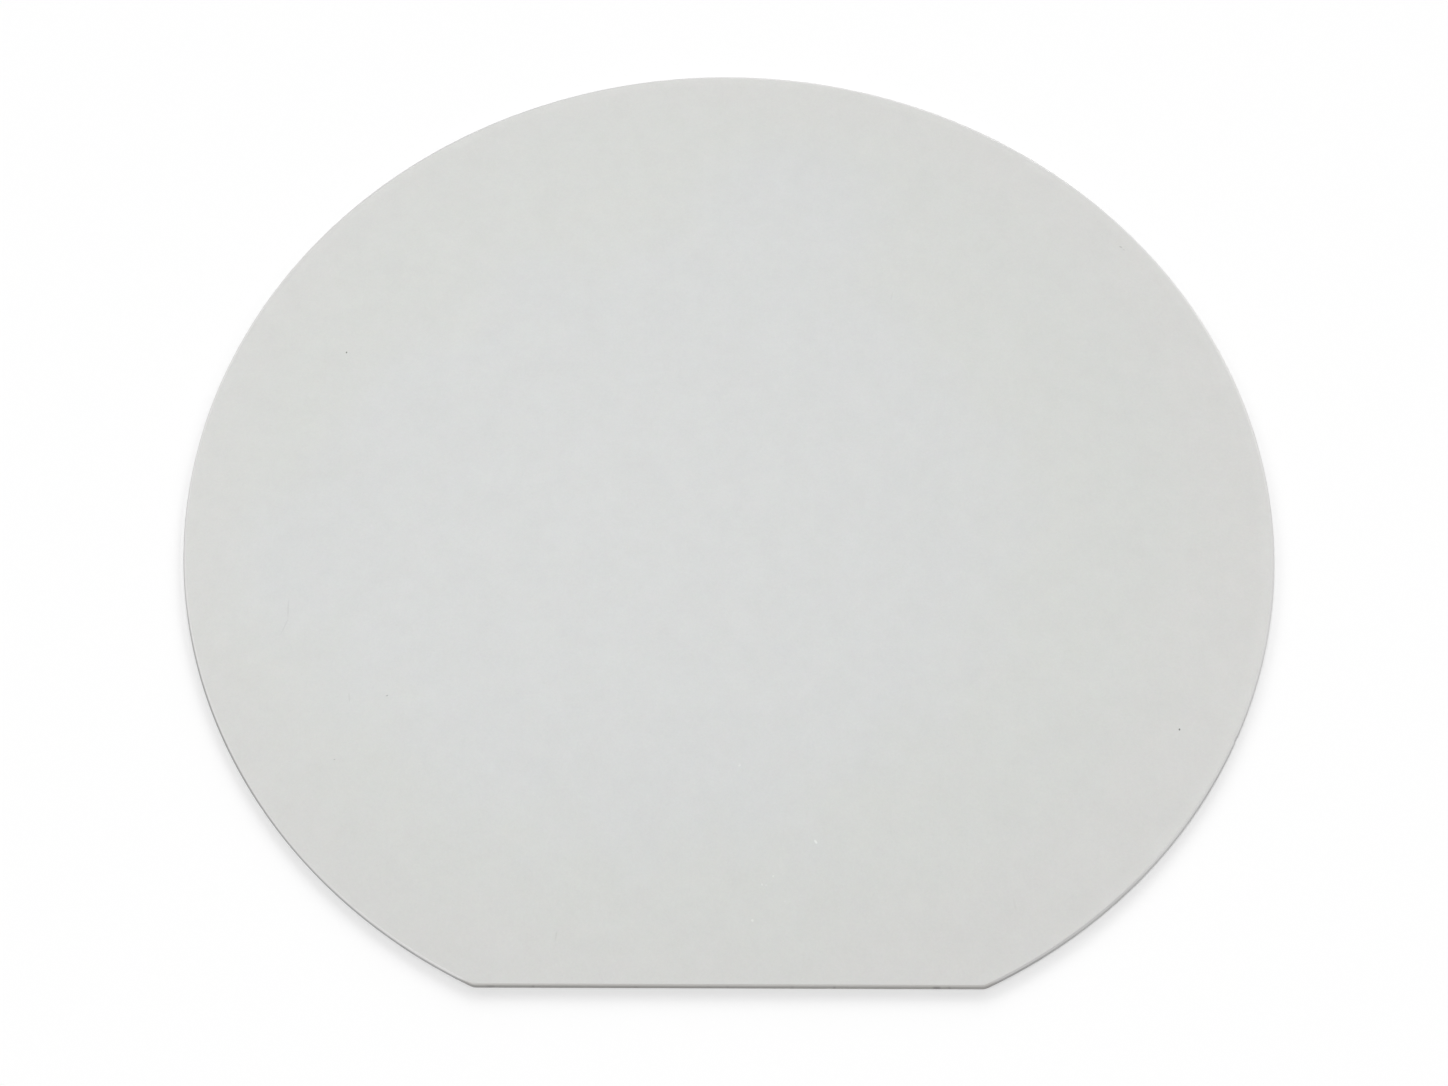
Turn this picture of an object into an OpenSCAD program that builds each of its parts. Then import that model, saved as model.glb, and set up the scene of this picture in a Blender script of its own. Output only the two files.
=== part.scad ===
// Silicon wafer: a thin round slice with one straight flat and a ground edge.
// The origin is the centre of the round outline, on the back face. The front face
// looks up (+Z), and the flat faces -Y.

/* [Disc] */
// Diameter across the round rim
diameter = 150; // [140:0.5:160]
// Thickness between the front face and the back face
thickness = 0.675; // [0.64:0.005:1]

/* [Primary flat] */
// How far the flat is cut in from the round rim
flat_depth = 6.88; // [4:0.02:10]
// Radius of the two corners where the flat runs into the rim
corner_r = 1.9; // [1:0.1:4]

/* [Ground edge] */
// How far the bevels reach in from the rim
bevel_w = 0.42; // [0.36:0.01:0.44]
// Slope of the bevels, measured from the faces
bevel_angle = 22; // [18:1:24]
// Radius that blends each bevel into the upright land at the rim
blend_r = 0.16; // [0.08:0.01:0.18]

/* [Hidden] */
$fn = 192;

disc_r = diameter / 2;
flat_y = disc_r - flat_depth; // the flat's distance from the centre

// The corner arcs touch the flat and the round rim from inside, about these centres.
corner_y = flat_y - corner_r;
corner_x = sqrt(pow(disc_r - corner_r, 2) - corner_y * corner_y);

// A ray from the wafer's centre through a corner's centre is the seam where its arc
// meets the round rim. Stretched this much, it ends well outside the rim.
ray = 1.5;
clear = 1; // how far what cuts and what is cut off run past each other

bevel_h = bevel_w * tan(bevel_angle); // how much of the thickness each bevel takes
blend_turn = 90 - bevel_angle; // what the outline turns through, from bevel to land
blend_h = bevel_h + blend_r * tan(blend_turn / 2); // height of a blend's centre
blend_ease = 1.002; // a blend is this much over its radius, so it crosses both lines

// What one blend takes off the sharp corner between a bevel and the land, with the
// blend's centre at the origin, the land to the right and the bevel above.
module blend_waste() {
    tip = 1.5 * blend_r;
    difference() {
        polygon([
            [0, 0],
            [tip, 0],
            [tip, tip * tan(blend_turn / 2)],
            [tip * cos(blend_turn), tip * sin(blend_turn)],
        ]);
        circle(r = blend_r * blend_ease);
    }
}

// Section through the ground edge. The rim's land is at x = 0, and the slice runs
// from there to -reach.
module edge_section(reach) {
    difference() {
        polygon([
            [-reach, 0],
            [-bevel_w, 0],
            [0, bevel_h],
            [0, thickness - bevel_h],
            [-bevel_w, thickness],
            [-reach, thickness],
        ]);
        translate([-blend_r, thickness - blend_h]) blend_waste();
        translate([-blend_r, blend_h]) mirror([0, 1]) blend_waste();
    }
}

// A full round slice of radius r with the ground edge. The section is drawn past the
// axis and cut off there.
module round_slice(r) {
    rotate_extrude()
        intersection() {
            translate([r, 0]) edge_section(r + clear);
            translate([0, -clear]) square([r + clear, thickness + 2 * clear]);
        }
}

// An upright prism on a plan outline, cutting right through the slice.
module through(outline) {
    translate([0, 0, -clear]) linear_extrude(thickness + 2 * clear) polygon(outline);
}

// The big disc, less the sector between the two seams.
module round_part() {
    difference() {
        round_slice(disc_r);
        through([
            [-corner_x, -corner_y],
            [-corner_x * ray, -corner_y * ray],
            [corner_x * ray, -corner_y * ray],
            [corner_x, -corner_y],
        ]);
    }
}

// One rounded corner, from its seam round to the flat. side is -1 or 1.
module corner_part(side) {
    intersection() {
        translate([side * corner_x, -corner_y]) round_slice(corner_r);
        through([
            [side * corner_x, -corner_y],
            [side * corner_x * ray, -corner_y * ray],
            [side * corner_x, -corner_y * ray],
        ]);
    }
}

// The straight strip along the flat, between the two corners.
module flat_part() {
    translate([-corner_x, -flat_y])
        rotate([90, 0, 90])
            linear_extrude(2 * corner_x)
                mirror([1, 0])
                    edge_section(corner_r);
}

module wafer() {
    color([0.84, 0.85, 0.845]) {
        round_part();
        flat_part();
        for (side = [-1, 1]) corner_part(side);
    }
}

wafer();
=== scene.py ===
"""A silicon wafer lying on a white bench: its etched faces, its ground edge, and the light and
camera that it is seen by. Lengths are in metres, unless a name or a comment says otherwise."""

import math

import bpy
from mathutils import Matrix, Vector


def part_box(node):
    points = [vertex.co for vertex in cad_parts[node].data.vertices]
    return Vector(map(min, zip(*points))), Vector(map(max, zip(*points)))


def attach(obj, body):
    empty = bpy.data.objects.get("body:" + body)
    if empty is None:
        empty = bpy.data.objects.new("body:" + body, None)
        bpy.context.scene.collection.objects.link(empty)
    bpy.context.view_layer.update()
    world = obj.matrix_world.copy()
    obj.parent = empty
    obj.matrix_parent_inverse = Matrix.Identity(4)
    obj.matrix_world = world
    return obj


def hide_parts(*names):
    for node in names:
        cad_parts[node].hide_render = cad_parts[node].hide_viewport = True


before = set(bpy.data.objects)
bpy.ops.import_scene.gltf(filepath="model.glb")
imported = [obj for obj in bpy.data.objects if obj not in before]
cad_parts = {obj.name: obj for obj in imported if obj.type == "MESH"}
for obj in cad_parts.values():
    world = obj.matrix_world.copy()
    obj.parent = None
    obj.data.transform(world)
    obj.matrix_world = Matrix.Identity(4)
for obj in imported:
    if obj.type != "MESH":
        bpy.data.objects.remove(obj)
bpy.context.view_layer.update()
wafer_low, wafer_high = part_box("wafer")

MM = 0.001
UP = Vector((0, 0, 1))

# The round outline is centred on the origin, and the back face lies at z = 0.
RADIUS = wafer_high.y
THICKNESS = wafer_high.z
FLAT_Y = -wafer_low.y
CORNER_R = 1.9 * MM
BEVEL_W = 0.42 * MM
BEVEL_ANGLE = math.radians(22)
BEVEL_H = BEVEL_W * math.tan(BEVEL_ANGLE)
BLEND_R = 0.16 * MM
CREST_R = 0.1 * MM  # the soft crest between a face and its bevel
FACE_MARGIN = 1.3 * MM  # how far the swept band reaches in over each face

# The two corner arcs touch the flat and the round rim from inside, about these centres.
CORNER_Y = FLAT_Y - CORNER_R
CORNER_X = math.sqrt((RADIUS - CORNER_R) ** 2 - CORNER_Y**2)
CORNER_TURN = math.atan2(CORNER_X, CORNER_Y)

BLEND_SEGMENTS = 5
CREST_SEGMENTS = 2
FLAT_STEPS = 36  # on each half of the flat
CORNER_STEPS = 8
RIM_STEPS = 420
GRID_SPAN = 127  # columns in the grid that fills a face
SMOOTH_BELOW = math.radians(30)
NEAR = 0.001 * MM
FLATTEN = 1 / NEAR  # stretches a pattern so far upright that heights don't change it

# A small chip in the rim, by its angle anticlockwise from +X, and how long and deep it is.
CHIP_AT = math.radians(-28.2)
CHIP_LONG = 1.1 * MM
CHIP_DEEP = 0.11 * MM
CHIP_STEPS = 12
CHIP_WIDE = 0.9 * BEVEL_W  # how far in from the rim it reaches
CHIP_FLOOR = 0.3 * THICKNESS  # it stays above this height
CHIP_BLUNT = 0.7  # a power under 1, which makes its ends steeper than a sine's
CHIP_RIPPLE = 0.14  # the share of its depth that ripples
CHIP_RIPPLE_TURN = 5.1  # how far the ripple turns from one step to the next

# Tints of the front face, where each zone of the etch is centred and ends, and how far its
# border wanders, in mm.
CORE_TINT = (0.6735, 0.6845, 0.6780, 1)
RING_TINT = (0.6735, 0.6845, 0.6640, 1)
RIM_TINT = (0.6840, 0.6845, 0.6680, 1)
CORE_AT = (-10, -3, 0)
CORE_ENDS = (38, 56)
CORE_WANDER = 34
# The core runs out in two lobes, each with its middle and where it ends.
CORE_LOBES = (
    ((9, 48, 0), 7, 20),
    ((-58, -10, 0), 4, 18),
)
RIM_AT = (-4, 3, 0)
RIM_STARTS = (58, 77)
RIM_WANDER = 16
# The face darkens a little away from the place where it is lightest, towards the flat, and
# at its lower left, each over these millimetres and by this share: painted shade, a fall of light.
LIGHTEST_AT = (-17.3, 23.7, 0)
AWAY = (11, 98)
AWAY_PAINTED_SHADE = 0.041
TO_FLAT = (-15, -110)
TO_FLAT_PAINTED_SHADE = 0.09
LOWER_LEFT = (-74, -112)
LOWER_LEFT_PAINTED_SHADE = 0.02
# Its last millimetres before the bevel are lighter, all but at the lower left.
LAST_STRIP = (72.7, 74.0)
LAST_STRIP_FROM = (-60, 10)
LAST_STRIP_GAIN = 0.02
# How strongly the patterns in the etch show.
FRONT_MOTTLE = 0.15
FRONT_GRAIN = 0.05
FRONT_COLOURS = 0.03
FRONT_METAL = 0.1
FRONT_ROUGH = 0.55
FRONT_ROUGH_MOTTLE = 0.2
GRAIN_DEEP = 0.01 * MM

# Small marks on the front face. Each is a long oval: the x and y of its middle, its length and
# width in mm, its turn in degrees, and the share of the light it swallows. A glint is a painted
# highlight that adds light.
OVAL_FADES = (0.5, 1.3)  # the shares of an oval's size between which it fades out
MARKS = (
    (-55.17, 23.53, 0.30, 0.22, 90, 0.75),
    (58.76, -34.05, 0.30, 0.23, 80, 0.75),
    (-44.98, -29.76, 0.32, 0.17, 20, 0.36),
    (-51.04, -38.70, 0.26, 0.16, 10, 0.28),
    (58.18, 42.83, 0.50, 0.24, -40, 0.24),
    (58.62, 42.33, 0.50, 0.20, -35, 0.12),
    (-59.27, -17.20, 2.90, 0.26, -86, 0.070),
    (-59.46, -19.80, 2.40, 0.22, 72, 0.066),
    (-49.92, -30.05, 1.30, 0.22, -80, 0.075),
    (-21.46, -61.75, 1.40, 0.28, 82, 0.065),
    (23.75, 33.83, 1.30, 0.26, 75, 0.045),
    (35.63, -57.37, 2.20, 0.30, -84, 0.022),
    (1.68, -40.20, 3.60, 0.22, -90, 0.012),
)
# painted highlights: small glints painted into the face's colour
PAINTED_GLINTS = (
    (5.50, -54.04, 0.30, 0.24, 60, 0.14),
    (4.08, -55.12, 0.28, 0.22, 90, 0.14),
    (4.62, -55.18, 0.28, 0.24, 20, 0.07),
    (6.94, -57.29, 0.26, 0.26, 0, 0.06),
    (10.94, -49.51, 0.60, 0.32, -56, 0.21),
    (2.87, -59.73, 0.34, 0.34, 0, 0.16),
    (1.29, -39.29, 0.36, 0.26, 30, 0.13),
)
# Dark stains on the flat's land: the x of the middle and the length in mm, and the share of
# the light that each swallows.
STAINS = (
    (25.40, 1.00, 0.30),
    (26.97, 0.38, 0.16),
    (12.87, 0.36, 0.16),
    (7.70, 0.40, 0.10),
    (-0.20, 0.34, 0.10),
    (-11.45, 0.50, 0.11),
    (-24.00, 0.34, 0.12),
    (-29.25, 1.10, 0.14),
)
STAIN_WIDE = 1.0

# Tints of the ground edge, all round and along the flat. The flat takes over between these
# two y in mm, and is darker by this share, which is painted shade.
ROUND_TINT = (1.0, 0.995, 0.985, 1)
FLAT_TINT = (1.0, 0.980, 0.945, 1)
FLAT_STARTS = (-66.9, -67.8)
FLAT_PAINTED_SHADE = 0.20
# The bevels are lighter near the flat, which is painted light, and darker at the far side and the
# far left, which is painted shade. Each stretch is given by y, or by y less x, in mm.
BEVEL_SHADE = 0.73
NEAR_SIDE = (0, -30)
NEAR_SIDE_PAINTED_LIGHT = 0.06
FAR_SIDE = (20, 60)
FAR_SIDE_PAINTED_SHADE = 0.12
FAR_LEFT = (60, 100)
FAR_LEFT_PAINTED_SHADE = 0.08
# The land's full shade reaches this far up and down from the middle, and fades out by
# LAND_ENDS, in mm.
LAND_FULL = 0.205
LAND_ENDS = 0.265
# The land is darker than the bevels by a drop, and the drop grows towards the near side, which
# is painted shade. That growth spans these mm of y plus a lean times x.
LAND_DROP = 0.04
LAND_SHADE_SPAN = (-1, -44)
LAND_SHADE_LEAN = 0.14
LAND_SHADE_DROP = 0.32
LAND_SHADE_EASE = 0.0004  # less with each mm to the right
# Along the flat the land reaches further up, and its drop is smaller.
FLAT_LAND = 0.04
FLAT_DROP = -0.03
# Three stretches of the rim with painted light and shade: the middle of each, and how far from
# there it starts and is full, in mm. Each adds to the land's drop or takes from it. At the left the
# land reaches further up and is darker, painted shade;
# at the right the bevels are darker, painted shade, and the land lighter, painted light; at the side
# the land is lighter, painted light.
LEFT_PAINTED_SHADE = ((-68, -33, 0), 24, 8)
LEFT_SHADE_LAND = 0.03
LEFT_SHADE_DROP = 0.06
RIGHT_PAINTED_SHADING = ((40, -64, 0), 19, 11)
RIGHT_SHADING_BEVEL_LOSS = 0.11
RIGHT_SHADING_DROP = -0.10
SIDE_PAINTED_LIGHT = ((51, -55, 0), 20, 8)
SIDE_LIGHT_DROP = -0.11
# Grinding marks and dirt on the edge.
GRINDING = 0.06
GRINDING_DEEP = 0.01 * MM
DIRT = 0.08
DIRT_FROM = (0.56, 0.72)
EDGE_GLOSS = 0.25
EDGE_ROUGH = 0.3
LAND_ROUGH = 0.1  # added on the land

BACK_SHADE = 0.66
BACK_MOTTLE = 0.04
BACK_PITS = 0.03
BACK_BLUE = 0.99  # as a share of its red and green
BACK_METAL = 0.2
BACK_ROUGH = 0.38
BACK_PIT_ROUGH = 0.1
PITS_TO_A_MM = 4.5
PIT_DEEP = 0.03 * MM

BENCH_SIZE = 6.0
BENCH_WHITE = 0.8
BENCH_GLOW = 0.2  # the share of the bench's white that no shadow darkens

ROOM_LEVEL = 0.24
# The lamps: name, bearing anticlockwise from +X and height in degrees, the share of a white
# flat surface's brightness that each gives, and how many degrees wide it looks.
MAIN_LAMP = ("softbox", 215, 66, 0.385, 28)
WINDOW_LAMPS = (
    ("window_low_1", 70, 9, 0.020, 12),
    ("window_low_2", 110, 9, 0.010, 12),
    ("window_1", -10, 16, 0.015, 12),
    ("window_2", 40, 16, 0.030, 12),
    ("window_3", 65, 16, 0.045, 12),
    ("window_4", 90, 16, 0.075, 12),
    ("window_5", 115, 16, 0.035, 12),
    ("window_6", 140, 16, 0.035, 12),
    ("window_7", 190, 16, 0.015, 12),
    ("window_high_1", -10, 24, 0.015, 14),
    ("window_high_2", 40, 24, 0.035, 14),
    ("window_high_3", 90, 24, 0.010, 14),
    ("window_high_4", 140, 24, 0.010, 14),
    ("window_high_5", 190, 24, 0.020, 14),
)

CAMERA_PLACE = Vector((-2.12, -127.04, 234.77)) * MM
CAMERA_AIM = Vector((-0.773, -7.0, 0.675)) * MM
CAMERA_ROLL = math.radians(0.844)
CAMERA_LENS = 47.794
CAMERA_SENSOR = 36
CAMERA_REACH = (0.01, 50)


# ---------------------------------------------------------------- modelling by hand


def put_down_everything():
    """Leaves edit mode and deselects every object."""
    if bpy.context.object and bpy.context.object.mode != "OBJECT":
        bpy.ops.object.mode_set(mode="OBJECT")
    bpy.ops.object.select_all(action="DESELECT")


def pick_points(piece, wanted):
    """Selects the vertices whose place passes the test, and what lies between them."""
    bpy.ops.object.mode_set(mode="OBJECT")
    mesh = piece.data
    for group in (mesh.polygons, mesh.edges):
        group.foreach_set("select", [False] * len(group))
    mesh.vertices.foreach_set("select", [wanted(v.co) for v in mesh.vertices])
    bpy.ops.object.mode_set(mode="EDIT")
    bpy.ops.mesh.select_mode(type="VERT")


def start_at_a_point(name, place):
    """A new piece that is one selected vertex, in edit mode."""
    put_down_everything()
    bpy.ops.mesh.primitive_plane_add(size=1, location=(0, 0, 0))
    piece = bpy.context.object
    piece.name = name
    piece.data.name = name
    bpy.ops.object.mode_set(mode="EDIT")
    bpy.ops.mesh.select_mode(type="VERT")
    bpy.ops.mesh.select_all(action="SELECT")
    bpy.ops.mesh.merge(type="CENTER")
    bpy.ops.transform.translate(value=place)
    return piece


def draw_on(step):
    """Extrudes what is selected by one step."""
    bpy.ops.mesh.extrude_region_move(TRANSFORM_OT_translate={"value": step})


def sweep_round(centre, turn, steps):
    """Spins the selected section about an upright line, anticlockwise from above."""
    bpy.ops.mesh.spin(steps=steps, angle=-turn, center=centre, axis=(0, 0, 1))


def sweep_along(length, steps):
    """Draws the selected section out along the flat."""
    for _ in range(steps):
        draw_on((length / steps, 0, 0))


def ground_section():
    """The ground edge's section as distances in from the rim and heights, from the front
    face round to the back face."""
    return [
        (FACE_MARGIN, THICKNESS),
        (BEVEL_W, THICKNESS),
        (0, THICKNESS - BEVEL_H),
        (0, BEVEL_H),
        (BEVEL_W, 0),
        (FACE_MARGIN, 0),
    ]


def round_off(piece, reach, radius, turn, segments):
    """Rounds the section's two points that lie this far in from the flat."""
    pick_points(piece, lambda p: abs(p.y + FLAT_Y - reach) < NEAR)
    bpy.ops.mesh.bevel(
        offset=radius * math.tan(turn / 2),
        offset_type="OFFSET",
        segments=segments,
        affect="VERTICES",
        clamp_overlap=False,
    )


def rim_stretches():
    """Turns and steps that sweep the round rim, with fine steps across the chip."""
    start = CORNER_TURN - math.pi / 2
    whole = 2 * (math.pi - CORNER_TURN)
    chip = CHIP_LONG / RADIUS
    before = CHIP_AT - chip / 2 - start
    after = whole - before - chip
    rest = RIM_STEPS - CHIP_STEPS
    first = max(1, round(rest * before / (before + after)))
    return [(before, first), (chip, CHIP_STEPS), (after, rest - first)]


def chip_the_rim(piece):
    """Takes a shallow shell-shaped flake off the upper bevel and the land."""
    middle = Vector((math.cos(CHIP_AT), math.sin(CHIP_AT), 0)) * RADIUS
    tangent = Vector((-math.sin(CHIP_AT), math.cos(CHIP_AT), 0))
    half_a_step = CHIP_LONG / CHIP_STEPS / 2
    for number in range(1, CHIP_STEPS):
        along = (number / CHIP_STEPS - 0.5) * CHIP_LONG
        share = math.sin(math.pi * number / CHIP_STEPS) ** CHIP_BLUNT
        share *= 1 - CHIP_RIPPLE + CHIP_RIPPLE * math.sin(CHIP_RIPPLE_TURN * number)
        inward = -(middle + tangent * along).normalized()

        def on_the_flake(p):
            away = p - middle
            at_the_chip = away.length < CHIP_LONG
            in_step = abs(away.dot(tangent) - along) < half_a_step
            outside = p.to_2d().length > RADIUS - CHIP_WIDE
            return at_the_chip and in_step and outside and p.z > CHIP_FLOOR

        pick_points(piece, on_the_flake)
        bpy.ops.transform.translate(value=inward * CHIP_DEEP * share)


def inside_by(p):
    """How far a place lies in from the outline, measured square to it."""
    if p.y < -CORNER_Y and abs(p.x) <= CORNER_X:
        return p.y + FLAT_Y
    for side in (-1, 1):
        centre = Vector((side * CORNER_X, -CORNER_Y))
        away = p.to_2d() - centre
        turn = math.atan2(side * away.x, -away.y)
        if 0 <= turn <= CORNER_TURN:
            return CORNER_R - away.length
    return RADIUS - p.to_2d().length


def fill_face(piece, height):
    """Fills the open middle of a face with an even grid."""
    past_the_bevel = (BEVEL_W + FACE_MARGIN) / 2

    def on_the_loop(p):
        return abs(p.z - height) < NEAR and inside_by(p) > past_the_bevel

    pick_points(piece, on_the_loop)
    bpy.ops.mesh.select_mode(type="EDGE")
    bpy.ops.mesh.fill_grid(span=GRID_SPAN, use_interp_simple=True)


def make_wafer():
    """Draws the section at the middle of the flat, sweeps it round the outline and fills
    both faces."""
    places = [Vector((0, -FLAT_Y + inset, height)) for inset, height in ground_section()]
    piece = start_at_a_point("etched_wafer", places[0])
    for before, after in zip(places, places[1:]):
        draw_on(after - before)
    round_off(piece, 0, BLEND_R, math.pi / 2 - BEVEL_ANGLE, BLEND_SEGMENTS)
    round_off(piece, BEVEL_W, CREST_R, BEVEL_ANGLE, CREST_SEGMENTS)

    bpy.ops.mesh.select_all(action="SELECT")
    sweep_along(CORNER_X, FLAT_STEPS)
    sweep_round((CORNER_X, -CORNER_Y, 0), CORNER_TURN, CORNER_STEPS)
    for turn, steps in rim_stretches():
        sweep_round((0, 0, 0), turn, steps)
    sweep_round((-CORNER_X, -CORNER_Y, 0), CORNER_TURN, CORNER_STEPS)
    sweep_along(CORNER_X, FLAT_STEPS)
    bpy.ops.mesh.select_all(action="SELECT")
    bpy.ops.mesh.remove_doubles(threshold=2 * NEAR)
    chip_the_rim(piece)
    for height in (THICKNESS, 0):
        fill_face(piece, height)
    bpy.ops.mesh.select_all(action="SELECT")
    bpy.ops.mesh.normals_make_consistent(inside=False)
    bpy.ops.object.mode_set(mode="OBJECT")
    bpy.ops.object.shade_smooth_by_angle(angle=SMOOTH_BELOW)
    bpy.ops.object.modifier_add(type="WEIGHTED_NORMAL")
    piece.modifiers[-1].keep_sharp = True
    bpy.ops.object.modifier_apply(modifier=piece.modifiers[-1].name)
    return piece


# ---------------------------------------------------------------- nodes as sums


class Wire:
    """A node's output, used in sums as a number would be."""

    def __init__(self, finish, socket):
        self.finish = finish
        self.socket = socket

    def sum(self, operation, *values):
        return self.finish.node("ShaderNodeMath", {"operation": operation}, dict(enumerate(values)))

    def __add__(self, other):
        return self.sum("ADD", self, other)

    def __radd__(self, other):
        return self.sum("ADD", other, self)

    def __sub__(self, other):
        return self.sum("SUBTRACT", self, other)

    def __rsub__(self, other):
        return self.sum("SUBTRACT", other, self)

    def __mul__(self, other):
        return self.sum("MULTIPLY", self, other)

    def __rmul__(self, other):
        return self.sum("MULTIPLY", other, self)

    def __abs__(self):
        return self.sum("ABSOLUTE", self)


class Finish:
    """The nodes of one material or of the world."""

    def __init__(self, owner):
        owner.use_nodes = True
        self.owner = owner
        self.tree = owner.node_tree
        self.tree.nodes.clear()

    def node(self, kind, settings=None, sockets=None, output=0):
        """Adds a node: its settings first, then the values or links of its sockets."""
        made = self.tree.nodes.new(kind)
        for name, value in (settings or {}).items():
            setattr(made, name, value)
        for name, value in (sockets or {}).items():
            if isinstance(value, Wire):
                self.tree.links.new(value.socket, made.inputs[name])
            else:
                made.inputs[name].default_value = value
        return Wire(self, made.outputs[output]) if made.outputs else made

    def vector(self, operation, values, output=0):
        return self.node("ShaderNodeVectorMath", {"operation": operation}, values, output)

    def places(self):
        """Places on the piece, in millimetres."""
        place = self.node("ShaderNodeTexCoord", output="Object")
        return self.vector("SCALE", {0: place, "Scale": 1 / MM})

    def part(self, place, axis):
        """One of a place's three measures."""
        return self.node("ShaderNodeSeparateXYZ", None, {"Vector": place}, axis)

    def apart(self, place, centre):
        """How far a place is from a centre, seen from above."""
        moved = self.node(
            "ShaderNodeMapping",
            {"vector_type": "TEXTURE"},
            {"Vector": place, "Location": centre, "Scale": (1, 1, FLATTEN)},
        )
        return self.vector("LENGTH", {0: moved}, "Value")

    def fade(self, value, start, end, low=0, high=1):
        """Goes smoothly from low to high as the value goes from start to end."""
        return self.node(
            "ShaderNodeMapRange",
            {"interpolation_type": "SMOOTHSTEP", "clamp": True},
            {"Value": value, "From Min": start, "From Max": end, "To Min": low, "To Max": high},
        )

    def patch(self, place, middle, start, end):
        """Goes from 0 to 1 between these distances from a middle, seen from above."""
        return self.fade(self.apart(place, middle), start, end)

    def cloud(self, place, lump, detail, roughness, shift=(0, 0, 0), output="Fac"):
        """Noise round 0.5, with lumps of about this size. It may be longer one way."""
        size = lump if isinstance(lump, tuple) else (lump, lump, lump)
        moved = self.node(
            "ShaderNodeMapping",
            {"vector_type": "TEXTURE"},
            {"Vector": place, "Location": shift, "Scale": size},
        )
        return self.node(
            "ShaderNodeTexNoise",
            {"noise_dimensions": "3D"},
            {"Vector": moved, "Scale": 1, "Detail": detail, "Roughness": roughness},
            output,
        )

    def tinge(self, clouds, depth):
        """Makes a coloured cloud into a colour that strays round white by this much in all."""
        return self.vector("MULTIPLY_ADD", {0: clouds, 1: (depth,) * 3, 2: (1 - depth / 2,) * 3})

    def oval(self, place, x, y, long, wide, turn):
        """1 on a small oval, and 0 away from it."""
        moved = self.node(
            "ShaderNodeMapping",
            {"vector_type": "TEXTURE"},
            {
                "Vector": place,
                "Location": (x, y, 0),
                "Rotation": (0, 0, math.radians(turn)),
                "Scale": (long / 2, wide / 2, FLATTEN),
            },
        )
        return self.fade(self.vector("LENGTH", {0: moved}, "Value"), *OVAL_FADES, 1, 0)

    def ovals(self, place, listed):
        """What a list of ovals adds up to, each with its own weight."""
        return sum(self.oval(place, *oval) * weight for *oval, weight in listed)

    def blend(self, share, first, second, way="MIX"):
        """Mixes two colours, through the Mix node's colour sockets."""
        return self.node(
            "ShaderNodeMix",
            {"data_type": "RGBA", "blend_type": way, "clamp_factor": True},
            {0: share, 6: first, 7: second},
            2,
        )

    def colour(self, red, green, blue):
        return self.node("ShaderNodeCombineColor", None, {0: red, 1: green, 2: blue})

    def bump(self, height, strength, distance):
        return self.node(
            "ShaderNodeBump",
            None,
            {"Strength": strength, "Distance": distance, "Height": height},
        )

    def shader(self, values):
        surface = self.node("ShaderNodeBsdfPrincipled", None, values)
        self.node("ShaderNodeOutputMaterial", None, {"Surface": surface})


def new_finish(name):
    return Finish(bpy.data.materials.new(name))


def grey(level):
    return (level, level, level, 1)


def zoned_tint(finish, place):
    """Three faint zones of tint with wandering borders: a core with two lobes, a ring round
    it, and the rim."""
    wander = finish.cloud(place, lump=17, detail=4, roughness=0.6) - 0.5
    from_core = finish.apart(place, CORE_AT) + wander * CORE_WANDER
    from_middle = finish.apart(place, RIM_AT) - wander * RIM_WANDER
    ring = finish.fade(from_core, *CORE_ENDS)
    for lobe in CORE_LOBES:
        ring *= finish.patch(place, *lobe)
    tint = finish.blend(ring, CORE_TINT, RING_TINT)
    return finish.blend(finish.fade(from_middle, *RIM_STARTS), tint, RIM_TINT)


def etched_front():
    """The fine etched satin of the front face: faint zones of tint, a slow fall in lightness
    that is painted shade, a mottle, a fine grain, and the small marks of handling with painted
    glints."""
    finish = new_finish("etched_front")
    place = finish.places()
    tint = zoned_tint(finish, place)
    mottle = finish.cloud(place, lump=5.5, detail=5, roughness=1, shift=(31, 7, 0)) - 0.5
    grain = finish.cloud(place, lump=0.2, detail=1, roughness=0.6, shift=(3, 11, 0)) - 0.5
    # dark marks, less the painted glints
    marks_and_glints = finish.ovals(place, MARKS) - finish.ovals(place, PAINTED_GLINTS)
    x, y = (finish.part(place, axis) for axis in range(2))
    # painted shade: the face's slow fall in lightness stands in for light falling off
    painted_shade = finish.patch(place, LIGHTEST_AT, *AWAY) * AWAY_PAINTED_SHADE
    painted_shade += finish.fade(y, *TO_FLAT) * TO_FLAT_PAINTED_SHADE
    painted_shade += finish.fade(x + y, *LOWER_LEFT) * LOWER_LEFT_PAINTED_SHADE
    strip = finish.patch(place, (0, 0, 0), *LAST_STRIP)
    painted_shade -= strip * finish.fade(x + y, *LAST_STRIP_FROM) * LAST_STRIP_GAIN
    level = (1 + mottle * FRONT_MOTTLE + grain * FRONT_GRAIN) * (1 - marks_and_glints) * (1 - painted_shade)
    specks = finish.cloud(place, lump=0.35, detail=1, roughness=0.7, shift=(5, 2, 0), output="Color")
    blooms = finish.cloud(place, lump=2.6, detail=3, roughness=1, shift=(13, 41, 0), output="Color")
    shade = finish.vector("SCALE", {0: finish.tinge(specks, FRONT_COLOURS), "Scale": level})
    shade = finish.vector("MULTIPLY", {0: shade, 1: finish.tinge(blooms, FRONT_COLOURS)})
    finish.shader(
        {
            "Base Color": finish.blend(1, tint, shade, "MULTIPLY"),
            "Metallic": FRONT_METAL,
            "Roughness": FRONT_ROUGH + mottle * FRONT_ROUGH_MOTTLE,
            "Normal": finish.bump(grain, strength=0.25, distance=GRAIN_DEEP),
        }
    )
    return finish.owner


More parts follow.
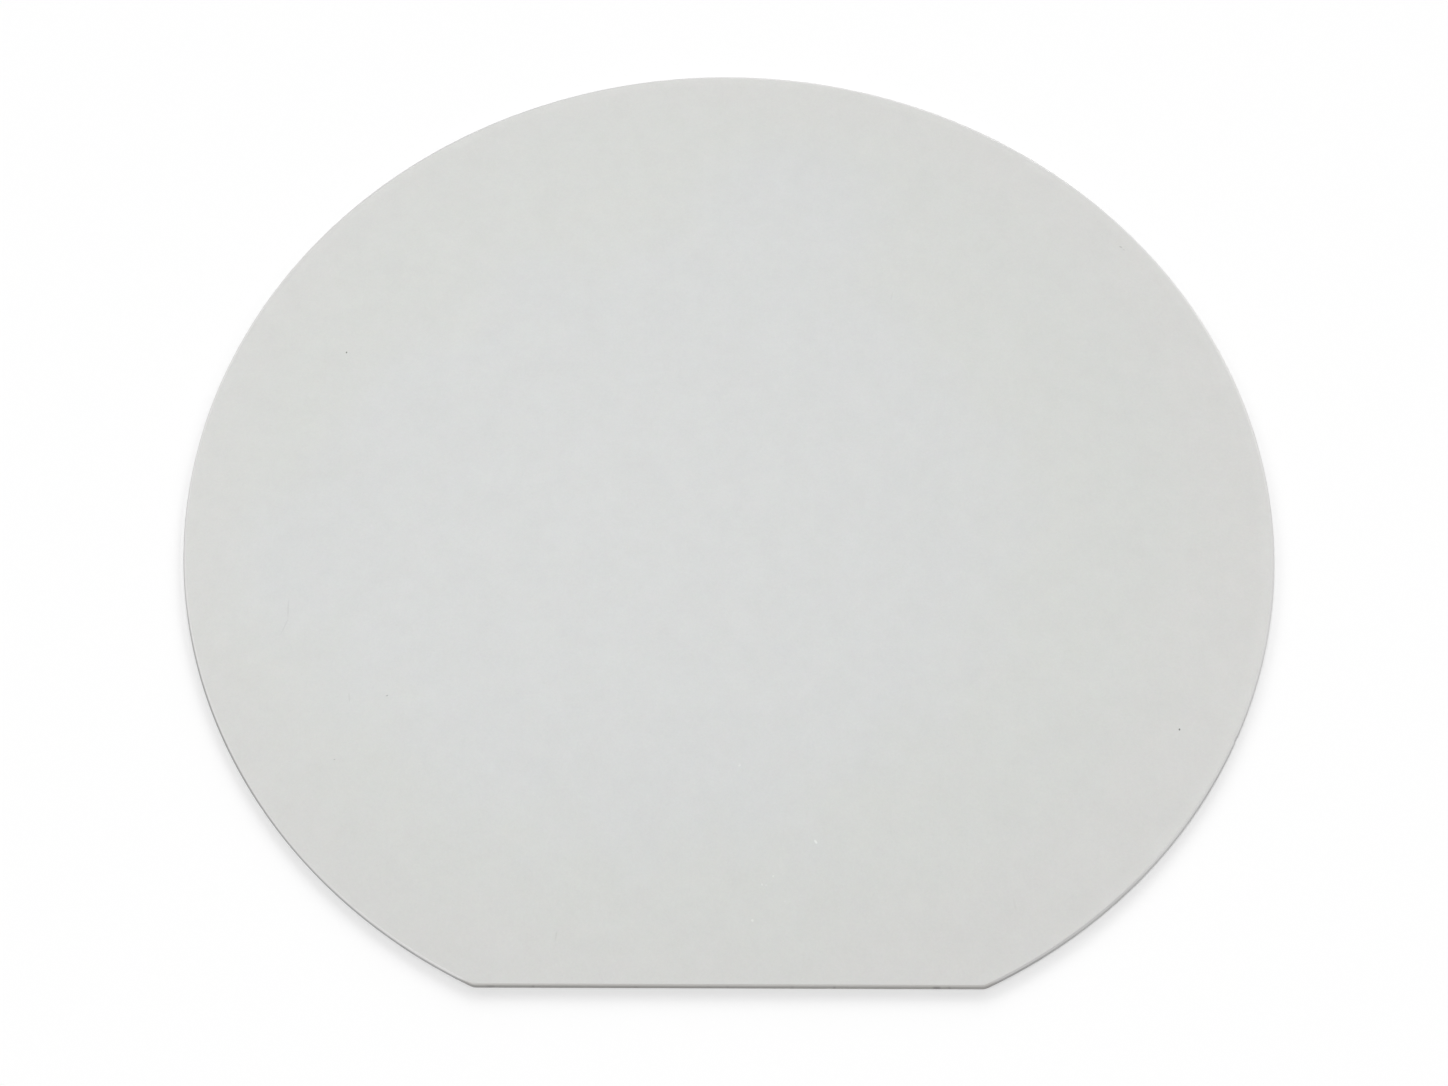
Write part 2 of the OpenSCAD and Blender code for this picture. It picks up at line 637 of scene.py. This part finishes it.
def etched_back():
    """The coarser etch of the back face, with shallow pits."""
    finish = new_finish("etched_back")
    place = finish.places()
    pits = finish.node(
        "ShaderNodeTexVoronoi",
        {"feature": "F1", "distance": "EUCLIDEAN"},
        {"Vector": place, "Scale": PITS_TO_A_MM},
        "Distance",
    )
    mottle = finish.cloud(place, lump=3.1, detail=3, roughness=0.6) - 0.5
    level = BACK_SHADE + mottle * BACK_MOTTLE + pits * BACK_PITS
    finish.shader(
        {
            "Base Color": finish.colour(level, level, level * BACK_BLUE),
            "Metallic": BACK_METAL,
            "Roughness": BACK_ROUGH + pits * BACK_PIT_ROUGH,
            "Normal": finish.bump(pits, strength=0.3, distance=PIT_DEEP),
        }
    )
    return finish.owner


def ground_edge():
    """The ground edge: grinding marks run along it. Its land is darker than its bevels, and more so
    towards the near side by painted shade; the flat's edge is browner and darker by painted shade."""
    finish = new_finish("ground_edge")
    place = finish.places()
    x, y, z = (finish.part(place, axis) for axis in range(3))
    at_flat = finish.fade(y, *FLAT_STARTS)
    # painted shade: the land grows darker towards the near side
    painted_land_shade = finish.fade(y + x * LAND_SHADE_LEAN, *LAND_SHADE_SPAN)
    # painted light and shade on three stretches of the rim
    left_painted_shade = finish.patch(place, *LEFT_PAINTED_SHADE)
    right_painted_shading = finish.patch(place, *RIGHT_PAINTED_SHADING) * (1 - at_flat)
    side_painted_light = finish.patch(place, *SIDE_PAINTED_LIGHT)

    off_middle = abs(z - THICKNESS / MM / 2)
    top = at_flat * FLAT_LAND + left_painted_shade * LEFT_SHADE_LAND + LAND_ENDS
    land = finish.fade(off_middle, LAND_FULL, top, 1, 0)
    # painted light on the bevels near the flat, painted shade at the far side and far left
    bevel = BEVEL_SHADE + finish.fade(y, *NEAR_SIDE) * NEAR_SIDE_PAINTED_LIGHT
    bevel -= finish.fade(y, *FAR_SIDE) * FAR_SIDE_PAINTED_SHADE
    bevel -= finish.fade(y - x, *FAR_LEFT) * FAR_LEFT_PAINTED_SHADE
    bevel -= right_painted_shading * RIGHT_SHADING_BEVEL_LOSS
    drop = painted_land_shade * (LAND_SHADE_DROP - x * LAND_SHADE_EASE) + LAND_DROP + at_flat * FLAT_DROP
    drop += left_painted_shade * LEFT_SHADE_DROP + right_painted_shading * RIGHT_SHADING_DROP
    drop += side_painted_light * SIDE_LIGHT_DROP

    grinding = finish.cloud(place, lump=(2.5, 2.5, 0.06), detail=3, roughness=0.7) - 0.5
    dirt = finish.cloud(place, lump=1.6, detail=3, roughness=0.6, shift=(9, 4, 0))
    stains = [(middle, -FLAT_Y / MM, long, STAIN_WIDE, 0, share) for middle, long, share in STAINS]
    stain = finish.ovals(place, stains) + finish.fade(dirt, *DIRT_FROM) * DIRT
    level = bevel - land * drop + grinding * GRINDING
    # the flat's edge is darker by painted shade
    level = level * (1 - stain * land) * (1 - at_flat * FLAT_PAINTED_SHADE)
    tint = finish.blend(at_flat, ROUND_TINT, FLAT_TINT)
    finish.shader(
        {
            "Base Color": finish.blend(1, tint, finish.colour(level, level, level), "MULTIPLY"),
            "Specular IOR Level": EDGE_GLOSS,
            "Roughness": EDGE_ROUGH + land * LAND_ROUGH,
            "Normal": finish.bump(grinding, strength=0.2, distance=GRINDING_DEEP),
        }
    )
    return finish.owner


def dress(piece):
    """Gives the faces and the ground edge their materials."""
    for material in (etched_front(), ground_edge(), etched_back()):
        piece.data.materials.append(material)
    level_enough = math.cos(BEVEL_ANGLE / 2)
    for face in piece.data.polygons:
        face.material_index = 1
        if abs(face.normal.z) > level_enough:
            face.material_index = 0 if face.normal.z > 0 else 2


# ---------------------------------------------------------------- bench, light, camera


def seen_rays(finish):
    """1 for what the camera sees straight, in a reflection or through glass."""
    rays = ("Is Camera Ray", "Is Glossy Ray", "Is Transmission Ray")
    return sum(finish.node("ShaderNodeLightPath", output=ray) for ray in rays)


def make_bench():
    put_down_everything()
    bpy.ops.mesh.primitive_plane_add(size=BENCH_SIZE, location=(0, 0, wafer_low.z))
    bench = bpy.context.object
    bench.name = "bench"
    finish = new_finish("white_bench")
    lit = finish.node("ShaderNodeBsdfDiffuse", None, {"Color": grey(BENCH_WHITE)})
    shown = seen_rays(finish) * BENCH_GLOW
    glow = finish.node("ShaderNodeEmission", None, {"Color": grey(1), "Strength": shown})
    both = finish.node("ShaderNodeAddShader", None, {0: lit, 1: glow})
    finish.node("ShaderNodeOutputMaterial", None, {"Surface": both})
    bench.data.materials.append(finish.owner)


def make_sun(name, toward, share, wide):
    """A soft light at a great distance. toward points at it, share is how much of a white
    flat surface's brightness it gives, and wide is how many degrees it looks across."""
    direction = Vector(toward).normalized()
    data = bpy.data.lights.new(name, "SUN")
    data.angle = math.radians(wide)
    data.energy = share * math.pi / direction.z
    lamp = bpy.data.objects.new(name, data)
    lamp.rotation_euler = direction.to_track_quat("Z", "Y").to_euler()
    bpy.context.scene.collection.objects.link(lamp)
    return lamp


def light_up():
    """A white room that is seen in the gloss, and soft lamps that light what is matt."""
    world = bpy.data.worlds.new("white_room")
    world.cycles.sampling_method = "NONE"
    bpy.context.scene.world = world
    finish = Finish(world)
    strength = seen_rays(finish) * (1 - ROOM_LEVEL) + ROOM_LEVEL
    back = finish.node("ShaderNodeBackground", None, {"Color": grey(1), "Strength": strength})
    finish.node("ShaderNodeOutputWorld", None, {"Surface": back})
    for name, bearing, height, share, wide in (MAIN_LAMP, *WINDOW_LAMPS):
        turn = math.radians(bearing)
        rise = math.radians(height)
        level = math.cos(rise)
        toward = (level * math.cos(turn), level * math.sin(turn), math.sin(rise))
        lamp = make_sun(name, toward, share, wide)
        lamp.visible_glossy = (name == MAIN_LAMP[0])


def make_camera():
    data = bpy.data.cameras.new("camera")
    data.lens = CAMERA_LENS
    data.sensor_width = CAMERA_SENSOR
    data.clip_start, data.clip_end = CAMERA_REACH
    camera = bpy.data.objects.new("camera", data)
    look = (CAMERA_AIM - CAMERA_PLACE).to_track_quat("-Z", "Y").to_matrix().to_4x4()
    roll = Matrix.Rotation(CAMERA_ROLL, 4, UP)
    camera.matrix_world = Matrix.Translation(CAMERA_PLACE) @ look @ roll
    bpy.context.scene.collection.objects.link(camera)
    bpy.context.scene.camera = camera


wafer = make_wafer()
dress(wafer)
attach(wafer, "root")
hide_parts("wafer")
make_bench()
light_up()
make_camera()
bpy.context.scene.view_settings.view_transform = "Standard"
